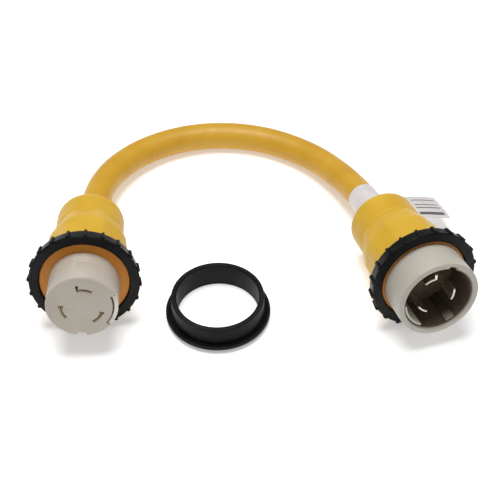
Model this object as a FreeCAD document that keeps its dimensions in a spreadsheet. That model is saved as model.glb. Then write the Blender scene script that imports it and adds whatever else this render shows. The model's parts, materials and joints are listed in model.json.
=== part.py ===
import FreeCAD, Part
import math
import os
from types import SimpleNamespace

import Sketcher

# A short lead with two locking power connectors: a female one on the left, a male one on
# the right, each with a moulded boot and a ribbed locking ring that spins on it. A loose
# sealing collar lies in front. Lengths are millimetres and angles are degrees. Each
# connector is drawn in a frame of its own: +Z runs forward along its axis and out of its
# face, +Y is its upper side, and the origin is on the axis, inside the boot's rear part.

Vector = FreeCAD.Vector

SIZES = {
    # each connector's origin, and how the connector lies on the floor
    "female_origin_x": -124.69,
    "female_origin_y": 44.36,
    "female_origin_z": 27.6,
    "female_yaw": 4.1,
    "female_tilt": 10.2,
    "male_origin_x": 98.83,
    "male_origin_y": 49.53,
    "male_origin_z": 29.34,
    "male_yaw": 17.2,
    "male_tilt": 8.1,
    # cable and what is on it
    "cable_radius": 11.2,
    "cable_inset": 23.0,
    "cable_straight": 18.0,
    "fit_gap": 0.1,
    "overrun": 1.0,
    "band_thickness": 0.4,
    "band_start": 1.5,
    "band_width": 31.5,
    "flag_reach": 62.5,
    "flag_drop": 16.3,
    "flag_thickness": 0.6,
    "flag_gap": 0.5,
    "flag_root_angle": -32.0,
    # boot
    "face_height": 101.0,
    "female_boot_reach": 12.3,
    "male_boot_reach": 4.4,
    "bulb_radius": 25.5,
    "bulb_length": 24.6,
    "bulb_round": 10.0,
    "waist_radius": 25.1,
    "body_radius": 29.7,
    "body_start": 42.5,
    "flat_low": 24.8,
    "flat_high": 28.9,
    "flat_start": 24.0,
    "flat_end": 52.0,
    "flat_reach": 36.0,
    "flat_count": 8,
    "chamber_start": 14.0,
    "chamber_back": 19.0,
    "chamber_front": 23.5,
    "seat_start": 46.0,
    "plate_front": 50.0,
    # locking ring, with the neck and flange that hold it
    "female_ring_start": 62.7,
    "male_ring_start": 67.6,
    "ring_width": 10.0,
    "ring_radius": 39.3,
    "ring_rear_radius": 38.2,
    "ring_chamfer": 1.0,
    "ring_bore": 32.3,
    "lip_bore": 28.4,
    "lip_width": 3.5,
    "ring_gap": 0.4,
    "flange_width": 4.5,
    "rib_count": 20,
    "rib_width": 2.2,
    "rib_height": 1.3,
    "female_rib_angle": 83.5,
    "male_rib_angle": 79.75,
    "rib_inset": 0.5,
    # parts that both connectors share
    "blade_count": 3,
    "blade_inner": 13.4,
    "blade_outer": 15.2,
    "terminal_end": 44.0,
    "slot_gap": 0.1,
    "slot_slack": 1.0,
    "tail_inner": 21.4,
    "tail_outer": 22.6,
    "tail_half": 5.0,
    "foot_inner": 18.0,
    "foot_thickness": 1.4,
    "screw_circle": 19.5,
    "screw_shank": 1.55,
    "screw_head": 3.0,
    "screw_head_height": 2.3,
    "screw_depth": 12.0,
    "screw_gap": 0.05,
    "lead_radius": 2.7,
    "lead_start_circle": 5.0,
    "lead_bend": 6.5,
    "ground_lead_circle": 19.0,
    "clamp_start": 15.0,
    "clamp_width": 7.0,
    "clamp_radius": 16.0,
    "clamp_ear": 18.0,
    "clamp_ear_half": 4.0,
    "clamp_slit": 1.0,
    # female nose
    "nose_radius": 25.0,
    "nose_spigot": 24.0,
    "nose_chamfer": 0.8,
    "slot_inner": 13.15,
    "slot_outer": 15.45,
    "slot_half": 20.0,
    "slot_depth": 22.0,
    "female_first_slot": 76.0,
    "head_inner": 12.6,
    "head_outer": 16.0,
    "hook_outer": 17.9,
    "head_half": 3.4,
    "cavity_inner": 11.6,
    "cavity_outer": 17.0,
    "cavity_half": 26.0,
    "face_wall": 3.0,
    "window_inner": 21.0,
    "window_depth": 8.0,
    "window_half": 32.0,
    "female_ground_angle": -12.0,
    "key_inner": 22.0,
    "key_half": 8.0,
    "key_angle": 264.0,
    "key_depth": 14.0,
    "panel_angle": 90.0,
    "panel_half": 13.0,
    "panel_rise": 0.2,
    "panel_start": 72.0,
    "panel_length": 8.0,
    "contact_inner": 12.2,
    "contact_outer": 16.4,
    "leaf_thickness": 0.9,
    "contact_half": 22.0,
    "contact_start": 52.0,
    "contact_length": 44.0,
    "contact_floor": 3.0,
    "stub_half": 7.0,
    "strip_inner": 22.2,
    "strip_outer": 24.8,
    "strip_half": 30.0,
    "strip_recess": 1.0,
    "web_thickness": 1.2,
    # male shroud and insert
    "shroud_radius": 30.0,
    "shroud_bore": 25.6,
    "sleeve_radius": 27.0,
    "sleeve_bore": 23.5,
    "insert_step": 69.0,
    "insert_face": 71.0,
    "liner_front": 99.4,
    "liner_bore": 24.6,
    "male_first_blade": 108.0,
    "blade_half": 19.0,
    "blade_slack": 0.4,
    "blade_recess": 5.0,
    "blade_tip_chamfer": 0.5,
    "blade_hook": 18.2,
    "blade_hook_angle": 7.0,
    "blade_hook_length": 17.0,
    "shroud_key_angle": 70.0,
    "shroud_key_half": 7.0,
    "shroud_key_depth": 1.5,
    "male_ground_angle": 212.0,
    "male_strip_inner": 23.3,
    "male_strip_outer": 24.5,
    "male_strip_half": 29.0,
    "male_strip_recess": 2.0,
    "small_strip_angle": -63.0,
    "small_strip_half": 8.0,
    # loose sealing collar
    "collar_x": -25.97,
    "collar_y": -19.16,
    "collar_bore": 30.1,
    "collar_radius": 34.0,
    "collar_height": 19.5,
    "collar_flange": 38.5,
    "collar_flange_low": 3.0,
    "collar_flange_top": 5.4,
    "collar_lip": 1.2,
    "collar_root": 3.2,
    "collar_chamfer": 0.8,
}

# The corners that the cable turns on between its two straight ends.
CABLE_CORNERS = [
    (-120.0, 121.0, 16.5),
    (-91.3, 159.1, 13.0),
    (-46.9, 179.9, 11.5),
    (4.2, 177.6, 11.2),
    (48.4, 152.5, 12.2),
    (75.9, 113.8, 17.5),
]

FEMALE_SCREW_ANGLES = (136.0, 256.0)
MALE_SCREW_ANGLES = (168.0, 288.0)
LEAD_COLOURS = ("black", "red", "white")
FEMALE_LEAD_STARTS = (76.0, 166.0, 256.0)
FEMALE_GROUND_LEAD_START = 350.0
MALE_LEAD_STARTS = (90.0, 270.0, 0.0)
MALE_GROUND_LEAD_START = 170.0


# ---------------------------------------------------------------- sizes from the sheet

class Size:
    """A number together with the sheet expression that gives it."""

    def __init__(self, number, text):
        self.number = number
        self.text = text

    def __add__(self, other):
        return self.joined("+", other, self.number + amount(other))

    def __sub__(self, other):
        return self.joined("-", other, self.number - amount(other))

    def __mul__(self, other):
        return self.joined("*", other, self.number * amount(other))

    def __truediv__(self, other):
        return self.joined("/", other, self.number / amount(other))

    def __neg__(self):
        return Size(-self.number, "-" + self.text)

    def joined(self, sign, other, number):
        return Size(number, "({} {} {})".format(self.text, sign, wording(other)))


def amount(value):
    return value.number if isinstance(value, Size) else value


def wording(value):
    return value.text if isinstance(value, Size) else repr(value)


S = SimpleNamespace(**{name: Size(value, "Sizes." + name) for name, value in SIZES.items()})


def make_sheet(doc):
    """Write one row for each driving dimension: its name, its number and its alias."""
    sheet = doc.addObject("Spreadsheet::Sheet", "Sizes")
    for row, (name, value) in enumerate(SIZES.items(), start=1):
        sheet.set("A{}".format(row), name)
        sheet.set("B{}".format(row), str(value))
        sheet.setAlias("B{}".format(row), name)
    doc.recompute()


def bind(owner, path, size):
    owner.setExpression(path, size.text)


# ---------------------------------------------------------------- frames

def connector_frame(side):
    """Place a connector: its +Z leaves the face, turned by yaw and raised by tilt."""
    yaw = FreeCAD.Rotation(Vector(0, 0, 1), SIZES[side + "_yaw"])
    lean = FreeCAD.Rotation(Vector(1, 0, 0), 90 - SIZES[side + "_tilt"])
    origin = Vector(*(SIZES["{}_origin_{}".format(side, letter)] for letter in "xyz"))
    return FreeCAD.Placement(origin, yaw.multiply(lean))


def boot_rear(side):
    """Height of the boot's rear face, which is behind the origin."""
    return -getattr(S, side + "_boot_reach")


def turned(frame, angle):
    """The same frame turned about its own Z."""
    return frame.multiply(FreeCAD.Placement(Vector(), FreeCAD.Rotation(Vector(0, 0, 1), angle)))


def shifted(frame, radius, angle):
    """The same frame with its origin moved out to a radius and an angle."""
    return frame.multiply(FreeCAD.Placement(polar(radius, angle, 0), FreeCAD.Rotation()))


def polar(radius, angle, height):
    turn = math.radians(angle)
    return Vector(radius * math.cos(turn), radius * math.sin(turn), height)


# ---------------------------------------------------------------- bodies and sketches

def new_body(doc, label, placement):
    body = doc.addObject("PartDesign::Body", label)
    body.Label = label
    body.Placement = placement
    return body


def origin_feature(body, role):
    return next(item for item in body.Origin.OriginFeatures if item.Role == role)


def new_sketch(body, role="XY_Plane", height=None):
    sketch = body.newObject("Sketcher::SketchObject", body.Name + "_sketch")
    sketch.AttachmentSupport = [(origin_feature(body, role), "")]
    sketch.MapMode = "FlatFace"
    if height is not None:
        bind(sketch, "AttachmentOffset.Base.z", height)
    return sketch


def drive(sketch, kind, element, size):
    """Hold one coordinate of a line's start, at zero or at a size of the sheet."""
    if size is None:
        axis = -2 if kind == "DistanceX" else -1
        sketch.addConstraint(Sketcher.Constraint("PointOnObject", element, 1, axis))
        return
    index = sketch.addConstraint(Sketcher.Constraint(kind, -1, 1, element, 1, size.number))
    bind(sketch, "Constraints[{}]".format(index), size)


def add_outline(sketch, corners):
    """Close a polygon through the corners, each a pair of sizes, with None for zero."""
    points = [Vector(*(0 if size is None else size.number for size in pair), 0) for pair in corners]
    ends = points[1:] + points[:1]
    lines = [sketch.addGeometry(Part.LineSegment(a, b), False) for a, b in zip(points, ends)]
    for line, following in zip(lines, lines[1:] + lines[:1]):
        sketch.addConstraint(Sketcher.Constraint("Coincident", line, 2, following, 1))
    for line, (across, along) in zip(lines, corners):
        drive(sketch, "DistanceX", line, across)
        drive(sketch, "DistanceY", line, along)


def add_circle(sketch, radius):
    circle = sketch.addGeometry(Part.Circle(Vector(), Vector(0, 0, 1), radius.number), False)
    sketch.addConstraint(Sketcher.Constraint("Coincident", circle, 3, -1, 1))
    index = sketch.addConstraint(Sketcher.Constraint("Radius", circle, radius.number))
    bind(sketch, "Constraints[{}]".format(index), radius)


def add_band(sketch, inner, outer, middle, half):
    """Add a curved band between two radii, half the angle to each side of the middle."""
    low, high = amount(middle) - half.number, amount(middle) + half.number
    turns = (math.radians(low), math.radians(high))
    arcs = []
    for radius in (inner, outer):
        circle = Part.Circle(Vector(), Vector(0, 0, 1), radius.number)
        arcs.append(sketch.addGeometry(Part.ArcOfCircle(circle, *turns), False))
    sides = []
    for angle in (low, high):
        ends = (polar(inner.number, angle, 0), polar(outer.number, angle, 0))
        sides.append(sketch.addGeometry(Part.LineSegment(*ends), False))
    for end, side in enumerate(sides, start=1):
        sketch.addConstraint(Sketcher.Constraint("Coincident", side, 1, arcs[0], end))
        sketch.addConstraint(Sketcher.Constraint("Coincident", side, 2, arcs[1], end))
        sketch.addConstraint(Sketcher.Constraint("PointOnObject", -1, 1, side))
    for arc, radius in zip(arcs, (inner, outer)):
        sketch.addConstraint(Sketcher.Constraint("Coincident", arc, 3, -1, 1))
        index = sketch.addConstraint(Sketcher.Constraint("Radius", arc, radius.number))
        bind(sketch, "Constraints[{}]".format(index), radius)
    for side, angle, edge in zip(sides, (low, high), (middle - half, middle + half)):
        turn = math.radians(angle)
        index = sketch.addConstraint(Sketcher.Constraint("Angle", side, turn))
        bind(sketch, "Constraints[{}]".format(index), edge)


# ---------------------------------------------------------------- features

def revolve(body, corners, kind="Revolution"):
    """Turn a closed outline of radius and height pairs about the body's Z axis."""
    sketch = new_sketch(body, "XZ_Plane")
    add_outline(sketch, corners)
    feature = body.newObject("PartDesign::" + kind, body.Name + "_turned")
    feature.Profile = sketch
    feature.ReferenceAxis = (sketch, ["V_Axis"])
    feature.Angle = 360
    return feature


def pad(body, sketch, length):
    feature = body.newObject("PartDesign::Pad", body.Name + "_pad")
    feature.Profile = sketch
    bind(feature, "Length", length)
    return feature


def pocket(body, sketch, depth):
    """Cut from the sketch towards the connector's rear, against the sketch's normal."""
    feature = body.newObject("PartDesign::Pocket", body.Name + "_pocket")
    feature.Profile = sketch
    feature.Reversed = False
    bind(feature, "Length", depth)
    return feature


def pad_band(body, start, length, inner, outer, middle, half):
    sketch = new_sketch(body, height=start)
    add_band(sketch, inner, outer, middle, half)
    return pad(body, sketch, length)


def cut_band(body, start, depth, inner, outer, middle, half):
    sketch = new_sketch(body, height=start)
    add_band(sketch, inner, outer, middle, half)
    return pocket(body, sketch, depth)


def repeat(body, features, count):
    """Repeat features evenly round the body's Z axis and keep the result."""
    pattern = body.newObject("PartDesign::PolarPattern", body.Name + "_pattern")
    pattern.Originals = features
    pattern.Axis = (origin_feature(body, "Z_Axis"), [""])
    pattern.Angle = 360
    bind(pattern, "Occurrences", count)
    body.Tip = pattern
    return pattern


# ---------------------------------------------------------------- pieces of both connectors

AHEAD = Size(0.0, "0")


def flange_edges(ring_start):
    """Where the boot's flange, just in front of the ring's lip, starts and ends."""
    start = ring_start + S.lip_width + S.ring_gap
    return start, start + S.flange_width


def make_boot(doc, side, ring_start, seat_radius):
    """Moulded boot: round bulb, eight flats, round body, ring neck and front flange."""
    rear = boot_rear(side)
    neck_radius = S.lip_bore - S.ring_gap + S.fit_gap
    flange_start, flange_front = flange_edges(ring_start)
    bore = S.cable_radius + S.fit_gap
    body = new_body(doc, side + "_boot", connector_frame(side))
    revolve(body, [
        (bore, rear),
        (S.bulb_radius, rear),
        (S.bulb_radius, rear + S.bulb_length),
        (S.waist_radius, rear + S.bulb_length),
        (S.body_radius, rear + S.body_start),
        (S.body_radius, ring_start - S.ring_gap),
        (neck_radius, ring_start - S.ring_gap),
        (neck_radius, flange_start),
        (S.ring_bore - S.ring_gap, flange_start),
        (S.ring_bore - S.ring_gap, flange_front),
        (seat_radius, flange_front),
        (seat_radius, S.seat_start),
        (S.chamber_front, S.seat_start),
        (S.chamber_back, S.chamber_start),
        (bore, S.chamber_start),
    ])
    cut_flats(body, rear + S.flat_start)
    doc.recompute()
    round_rear_edge(body, rear)
    return body


def cut_flats(body, start):
    """Cut one sloping flat on the upper side and repeat it all round the boot."""
    slope = (S.flat_end - S.flat_start) / (S.flat_high - S.flat_low)
    rise = slope * (S.flat_reach - S.flat_low)
    sketch = new_sketch(body, "YZ_Plane")
    add_outline(sketch, [
        (S.flat_low, start),
        (S.flat_reach, start - (S.flat_reach - S.flat_low)),
        (S.flat_reach, start + rise),
    ])
    flat = pocket(body, sketch, S.flat_reach * 2)
    flat.Midplane = True
    repeat(body, [flat], S.flat_count)


def round_rear_edge(body, rear):
    """Round the bulb's outer edge on the rear face."""
    tip = body.Tip
    names = []
    for number, edge in enumerate(tip.Shape.Edges, start=1):
        on_rear = max(abs(vertex.Z - rear.number) for vertex in edge.Vertexes) < 0.01
        if on_rear and edge.Length > 6 * S.bulb_radius.number:
            names.append("Edge{}".format(number))
    fillet = body.newObject("PartDesign::Fillet", body.Name + "_round")
    fillet.Base = (tip, names)
    bind(fillet, "Radius", S.bulb_round)
    body.Tip = fillet


def make_ring(doc, side, ring_start):
    """Locking ring: bore with a rear lip, a slightly tapered rim and ribs across it."""
    front = ring_start + S.ring_width
    angle = getattr(S, side + "_rib_angle")
    body = new_body(doc, side + "_locking_ring", connector_frame(side))
    revolve(body, [
        (S.lip_bore, ring_start),
        (S.ring_rear_radius - S.ring_chamfer, ring_start),
        (S.ring_rear_radius, ring_start + S.ring_chamfer),
        (S.ring_radius, front - S.ring_chamfer),
        (S.ring_radius - S.ring_chamfer, front),
        (S.ring_bore, front),
        (S.ring_bore, ring_start + S.lip_width),
        (S.lip_bore, ring_start + S.lip_width),
    ])
    half = S.rib_width / 2
    foot = S.ring_rear_radius - S.ring_chamfer
    top = S.ring_radius + S.rib_height
    sketch = new_sketch(body, height=ring_start + S.rib_inset)
    add_outline(sketch, [(-half, foot), (half, foot), (half, top), (-half, top)])
    bind(sketch, "AttachmentOffset.Rotation.Angle", angle - 90)
    rib = pad(body, sketch, S.ring_width - S.rib_inset * 2)
    repeat(body, [rib], S.rib_count)
    trim = revolve(body, [
        (S.ring_rear_radius + S.rib_height, ring_start),
        (top, front),
        (top + S.overrun, front),
        (top + S.overrun, ring_start),
    ], "Groove")
    body.Tip = trim
    return body


def make_back_plate(doc, side, radius, slot_half, ground_angle, screw_angles):
    """Disc behind the contacts that they pass through, held by two screws."""
    body = new_body(doc, side + "_back_plate", connector_frame(side))
    sketch = new_sketch(body, height=S.seat_start)
    add_circle(sketch, radius)
    pad(body, sketch, S.plate_front - S.seat_start)
    first = S.male_first_blade if side == "male" else S.female_first_slot
    slot = cut_band(body, S.plate_front, S.plate_front - S.seat_start,
                    S.blade_inner - S.slot_gap, S.blade_outer + S.slot_gap, first, slot_half)
    repeat(body, [slot], S.blade_count)
    cut_tail_slot(body, S.plate_front, S.plate_front - S.seat_start, ground_angle)
    cut_screw_holes(body, S.plate_front, S.plate_front - S.seat_start, screw_angles)
    return body


def cut_tail_slot(body, start, depth, ground_angle):
    return cut_band(body, start, depth, S.tail_inner - S.slot_gap, S.tail_outer + S.slot_gap,
                    ground_angle, S.tail_half + S.slot_slack)


def cut_screw_holes(body, start, depth, angles):
    radius = S.screw_shank + S.screw_gap
    for angle in angles:
        sketch = new_sketch(body, height=start)
        centre = polar(S.screw_circle.number, angle, 0)
        hole = sketch.addGeometry(Part.Circle(centre, Vector(0, 0, 1), radius.number), False)
        spoke = sketch.addGeometry(Part.LineSegment(Vector(), centre), True)
        sketch.addConstraint(Sketcher.Constraint("Coincident", spoke, 1, -1, 1))
        sketch.addConstraint(Sketcher.Constraint("Coincident", spoke, 2, hole, 3))
        sketch.addConstraint(Sketcher.Constraint("Angle", spoke, math.radians(angle)))
        index = sketch.addConstraint(Sketcher.Constraint("Distance", spoke, S.screw_circle.number))
        bind(sketch, "Constraints[{}]".format(index), S.screw_circle)
        index = sketch.addConstraint(Sketcher.Constraint("Radius", hole, radius.number))
        bind(sketch, "Constraints[{}]".format(index), radius)
        pocket(body, sketch, depth)


def make_screws(doc, side, angles):
    """Two pan-head screws that hold the back plate to the connector's body."""
    for letter, angle in zip("ab", angles):
        frame = shifted(connector_frame(side), S.screw_circle.number, angle)
        body = new_body(doc, "{}_plate_screw_{}".format(side, letter), frame)
        tip = S.seat_start + S.screw_depth
        revolve(body, [
            (None, S.seat_start - S.screw_head_height),
            (S.screw_head, S.seat_start - S.screw_head_height),
            (S.screw_head, S.seat_start),
            (S.screw_shank, S.seat_start),
            (S.screw_shank, tip),
            (None, tip),
        ])


def make_clamp(doc, side):
    """Cord clamp: a split ring with an ear, closed on the jacket inside the boot."""
    body = new_body(doc, side + "_cord_clamp", connector_frame(side))
    sketch = new_sketch(body, height=S.clamp_start)
    add_circle(sketch, S.clamp_radius)
    add_circle(sketch, S.cable_radius + S.screw_gap)
    pad(body, sketch, S.clamp_width)
    ear = new_sketch(body, height=S.clamp_start)
    root = S.clamp_radius - S.overrun
    half = S.clamp_ear_half
    add_outline(ear, [(root, -half), (S.clamp_ear, -half), (S.clamp_ear, half), (root, half)])
    pad(body, ear, S.clamp_width)
    slit = new_sketch(body, height=S.clamp_start + S.clamp_width)
    inside = S.cable_radius - S.overrun
    half = S.clamp_slit
    outside = S.clamp_ear + S.overrun
    add_outline(slit, [(inside, -half), (outside, -half), (outside, half), (inside, half)])
    pocket(body, slit, S.clamp_width)
    return body


def make_ground_strip(doc, side, name, angle, inner, outer, half, floor, front):
    """Curved ground strip with a web, a tail through the insulator and a wiring foot."""
    body = new_body(doc, name, turned(connector_frame(side), angle))
    pad_band(body, floor, front - floor, inner, outer, AHEAD, half)
    pad_band(body, floor, S.web_thickness, S.tail_inner, outer, AHEAD, S.tail_half)
    pad_band(body, S.terminal_end, floor + S.web_thickness - S.terminal_end,
             S.tail_inner, S.tail_outer, AHEAD, S.tail_half)
    pad_band(body, S.terminal_end, S.foot_thickness, S.foot_inner, S.tail_outer, AHEAD, S.tail_half)
    return body


def make_leads(doc, side, starts, ends, ground_start, ground_end):
    """Four insulated leads that spread from the jacket's end to the contacts."""
    ring = S.blade_inner.number / 2 + S.blade_outer.number / 2
    for colour, start, end in zip(LEAD_COLOURS, starts, ends):
        make_lead(doc, side, colour, start, (ring, end))
    make_lead(doc, side, "green", ground_start, (S.ground_lead_circle.number, ground_end))


def make_lead(doc, side, colour, start, target):
    low, high = S.cable_inset.number, S.terminal_end.number
    bend = S.lead_bend.number
    circle, end = target
    corners = [
        polar(S.lead_start_circle.number, start, low),
        polar(S.lead_start_circle.number, start, low + bend),
        polar(circle, end, high - bend),
        polar(circle, end, high),
    ]
    lead = doc.addObject("Part::Feature", "{}_lead_{}".format(side, colour))
    lead.Label = lead.Name
    lead.Shape = tube(route_wire(corners), S.lead_radius.number)
    lead.Placement = connector_frame(side)


# ---------------------------------------------------------------- female connector

def make_nose(doc):
    """White nose on a spigot in the boot, with three slots, a keyway and a side window."""
    depth = S.face_height - S.plate_front
    step = flange_edges(S.female_ring_start)[1] + S.fit_gap
    body = new_body(doc, "female_nose", connector_frame("female"))
    revolve(body, [
        (None, S.plate_front),
        (S.nose_spigot, S.plate_front),
        (S.nose_spigot, step),
        (S.nose_radius, step),
        (S.nose_radius, S.face_height - S.nose_chamfer),
        (S.nose_radius - S.nose_chamfer, S.face_height),
        (None, S.face_height),
    ])
    slot = cut_band(body, S.face_height, S.slot_depth, S.slot_inner, S.slot_outer,
                    S.female_first_slot, S.slot_half)
    cavity = cut_band(body, S.face_height - S.face_wall, depth - S.face_wall,
                      S.cavity_inner, S.cavity_outer, S.female_first_slot, S.cavity_half)
    repeat(body, [slot, cavity], S.blade_count)
    cut_slot_heads(body)
    outside = S.nose_radius + S.overrun
    cut_band(body, S.face_height, S.window_depth, S.window_inner, outside,
             S.female_ground_angle, S.window_half)
    cut_tail_slot(body, S.face_height - S.window_depth, depth - S.window_depth,
                  S.female_ground_angle)
    cut_band(body, S.face_height, S.key_depth, S.key_inner, outside, S.key_angle, S.key_half)
    cut_screw_holes(body, S.plate_front + S.screw_depth, S.screw_depth, FEMALE_SCREW_ANGLES)
    pad_band(body, S.panel_start, S.panel_length, S.nose_radius - S.overrun,
             S.nose_radius + S.panel_rise, S.panel_angle, S.panel_half)
    return body


def cut_slot_heads(body):
    """Widen one end of each slot, and hook the first one outwards."""
    first = S.female_first_slot
    top = first + S.slot_half
    left = first + 120 - S.slot_half
    right = first - 120 + S.slot_half
    depth = S.face_wall + S.overrun
    cut_band(body, S.face_height, depth, S.head_inner, S.hook_outer, top, S.head_half)
    cut_band(body, S.face_height, depth, S.head_inner, S.head_outer, left, S.head_half)
    cut_band(body, S.face_height, depth, S.head_inner, S.head_outer, right, S.head_half)


def make_female_contact(doc, name, angle):
    """Two curved leaves on a closed floor, with a stub for the lead behind."""
    body = new_body(doc, name, turned(connector_frame("female"), angle))
    pad_band(body, S.contact_start, S.contact_length, S.contact_inner, S.contact_outer,
             AHEAD, S.contact_half)
    cut_band(body, S.contact_start + S.contact_length, S.contact_length - S.contact_floor,
             S.contact_inner + S.leaf_thickness, S.contact_outer - S.leaf_thickness,
             AHEAD, S.contact_half + S.slot_slack)
    pad_band(body, S.terminal_end, S.contact_start - S.terminal_end,
             S.blade_inner, S.blade_outer, AHEAD, S.stub_half)
    return body


def make_female(doc):
    make_boot(doc, "female", S.female_ring_start, S.nose_spigot + S.fit_gap)
    make_ring(doc, "female", S.female_ring_start)
    make_nose(doc)
    make_back_plate(doc, "female", S.nose_spigot, S.stub_half + S.slot_slack,
                    S.female_ground_angle, FEMALE_SCREW_ANGLES)
    make_screws(doc, "female", FEMALE_SCREW_ANGLES)
    first = S.female_first_slot.number
    angles = (first, first + 120, first + 240)
    names = ("female_neutral_contact", "female_line_contact_a", "female_line_contact_b")
    for name, angle in zip(names, angles):
        make_female_contact(doc, name, angle)
    make_ground_strip(doc, "female", "female_ground_contact", S.female_ground_angle.number,
                      S.strip_inner, S.strip_outer, S.strip_half,
                      S.face_height - S.window_depth, S.face_height - S.strip_recess)
    make_clamp(doc, "female")
    make_leads(doc, "female", FEMALE_LEAD_STARTS, angles,
               FEMALE_GROUND_LEAD_START, S.female_ground_angle.number)


# ---------------------------------------------------------------- male connector

def make_shroud(doc):
    """White tube round the blades, on a sleeve that sits in the boot, with a key groove."""
    step = flange_edges(S.male_ring_start)[1] + S.fit_gap
    body = new_body(doc, "male_shroud", connector_frame("male"))
    revolve(body, [
        (S.sleeve_bore, S.plate_front),
        (S.sleeve_radius, S.plate_front),
        (S.sleeve_radius, step),
        (S.shroud_radius, step),
        (S.shroud_radius, S.face_height),
        (S.shroud_bore, S.face_height),
        (S.shroud_bore, S.insert_step),
        (S.sleeve_bore, S.insert_step),
    ])
    cut_band(body, S.face_height, S.face_height - S.insert_face, S.shroud_bore - S.overrun,
             S.shroud_bore + S.shroud_key_depth, S.shroud_key_angle, S.shroud_key_half)
    return body


def make_insert(doc):
    """Dark insulator that holds the blades; its front is the floor of the shroud's cavity."""
    depth = S.insert_face - S.plate_front
    half = S.blade_half + S.blade_slack
    inner, outer = S.blade_inner - S.slot_gap, S.blade_outer + S.slot_gap
    body = new_body(doc, "male_insert", connector_frame("male"))
    revolve(body, [
        (None, S.plate_front),
        (S.sleeve_bore - S.fit_gap, S.plate_front),
        (S.sleeve_bore - S.fit_gap, S.insert_step),
        (S.shroud_bore - S.fit_gap, S.insert_step),
        (S.shroud_bore - S.fit_gap, S.insert_face),
        (None, S.insert_face),
    ])
    slot = cut_band(body, S.insert_face, depth, inner, outer, S.male_first_blade, half)
    repeat(body, [slot], S.blade_count)
    hook_angle = S.male_first_blade - S.blade_half + S.blade_hook_angle / 2
    cut_band(body, S.insert_face, S.blade_hook_length, inner, S.blade_hook + S.slot_gap,
             hook_angle, S.blade_hook_angle / 2 + S.blade_slack)
    cut_tail_slot(body, S.insert_face, depth, S.male_ground_angle)
    cut_screw_holes(body, S.plate_front + S.screw_depth, S.screw_depth, MALE_SCREW_ANGLES)
    return body


def make_liner(doc):
    """Thin dark sleeve on the shroud's bore, open along the key groove."""
    start = S.insert_face + S.fit_gap
    outside = S.shroud_bore - S.fit_gap
    body = new_body(doc, "male_liner", connector_frame("male"))
    revolve(body, [
        (S.liner_bore, start),
        (outside, start),
        (outside, S.liner_front),
        (S.liner_bore, S.liner_front),
    ])
    cut_band(body, S.liner_front, S.liner_front - start, S.liner_bore - S.overrun,
             S.shroud_bore + S.overrun, S.shroud_key_angle, S.shroud_key_half)


def make_blade(doc, name, angle, hooked):
    """Curved blade that runs from its wiring end, through the insert, to its tip."""
    tip = S.face_height - S.blade_recess
    body = new_body(doc, name, turned(connector_frame("male"), angle))
    pad_band(body, S.terminal_end, tip - S.terminal_end, S.blade_inner, S.blade_outer,
             AHEAD, S.blade_half)
    if hooked:
        half = S.blade_hook_angle / 2
        start = S.insert_face - S.blade_hook_length + S.slot_gap
        pad_band(body, start, tip - start, S.blade_outer - S.leaf_thickness, S.blade_hook,
                 half - S.blade_half, half)
    doc.recompute()
    last = body.Tip
    faces = enumerate(last.Shape.Faces, start=1)
    top = ["Face{}".format(number) for number, face in faces
           if abs(face.BoundBox.ZMin - tip.number) < 0.01]
    chamfer = body.newObject("PartDesign::Chamfer", name + "_tip")
    chamfer.Base = (last, top)
    bind(chamfer, "Size", S.blade_tip_chamfer)
    body.Tip = chamfer
    return body


def make_male(doc):
    make_boot(doc, "male", S.male_ring_start, S.sleeve_radius + S.fit_gap)
    make_ring(doc, "male", S.male_ring_start)
    make_shroud(doc)
    make_insert(doc)
    make_liner(doc)
    make_back_plate(doc, "male", S.sleeve_radius, S.blade_half + S.blade_slack,
                    S.male_ground_angle, MALE_SCREW_ANGLES)
    make_screws(doc, "male", MALE_SCREW_ANGLES)
    first = S.male_first_blade.number
    angles = (first, first + 120, first + 240)
    names = ("male_neutral_blade", "male_line_blade_a", "male_line_blade_b")
    for name, angle in zip(names, angles):
        make_blade(doc, name, angle, hooked=name == names[0])
    make_ground_strip(doc, "male", "male_ground_strip_large", S.male_ground_angle.number,
                      S.male_strip_inner, S.male_strip_outer, S.male_strip_half,
                      S.insert_face, S.face_height - S.male_strip_recess)
    small = new_body(doc, "male_ground_strip_small",
                     turned(connector_frame("male"), S.small_strip_angle.number))
    pad_band(small, S.insert_face, S.face_height - S.male_strip_recess - S.insert_face,
             S.male_strip_inner, S.male_strip_outer, AHEAD, S.small_strip_half)
    make_clamp(doc, "male")
    make_leads(doc, "male", MALE_LEAD_STARTS, angles,
               MALE_GROUND_LEAD_START, S.male_ground_angle.number)


# ---------------------------------------------------------------- cable, label and collar

def route_wire(corners):
    """Join the corners with straight runs and tangent arcs as large as the runs allow."""
    edges = []
    last = corners[0]
    for before, corner, after in zip(corners, corners[1:], corners[2:]):
        back, ahead = before - corner, after - corner
        reach = 0.45 * min(back.Length, ahead.Length)
        back.normalize()
        ahead.normalize()
        start, end = corner + back * reach, corner + ahead * reach
        edges.append(Part.LineSegment(last, start).toShape())
        edges.append(Part.Arc(start, arc_middle(corner, back, ahead, reach), end).toShape())
        last = end
    edges.append(Part.LineSegment(last, corners[-1]).toShape())
    return Part.Wire(edges)


def arc_middle(corner, back, ahead, reach):
    """The middle of the arc that touches both runs at the same reach from the corner."""
    half_turn = (math.pi - back.getAngle(ahead)) / 2
    radius = reach / math.tan(half_turn)
    inward = (back + ahead).normalize()
    return corner + inward * (radius / math.cos(half_turn) - radius)


def tube(wire, radius):
    """Sweep a round section along a wire of runs and arcs."""
    start = wire.OrderedEdges[0].valueAt(wire.OrderedEdges[0].FirstParameter)
    ahead = wire.OrderedEdges[0].tangentAt(wire.OrderedEdges[0].FirstParameter)
    ring = Part.Wire([Part.Circle(start, ahead, radius).toShape()])
    return wire.makePipeShell([ring], True, False)


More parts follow.
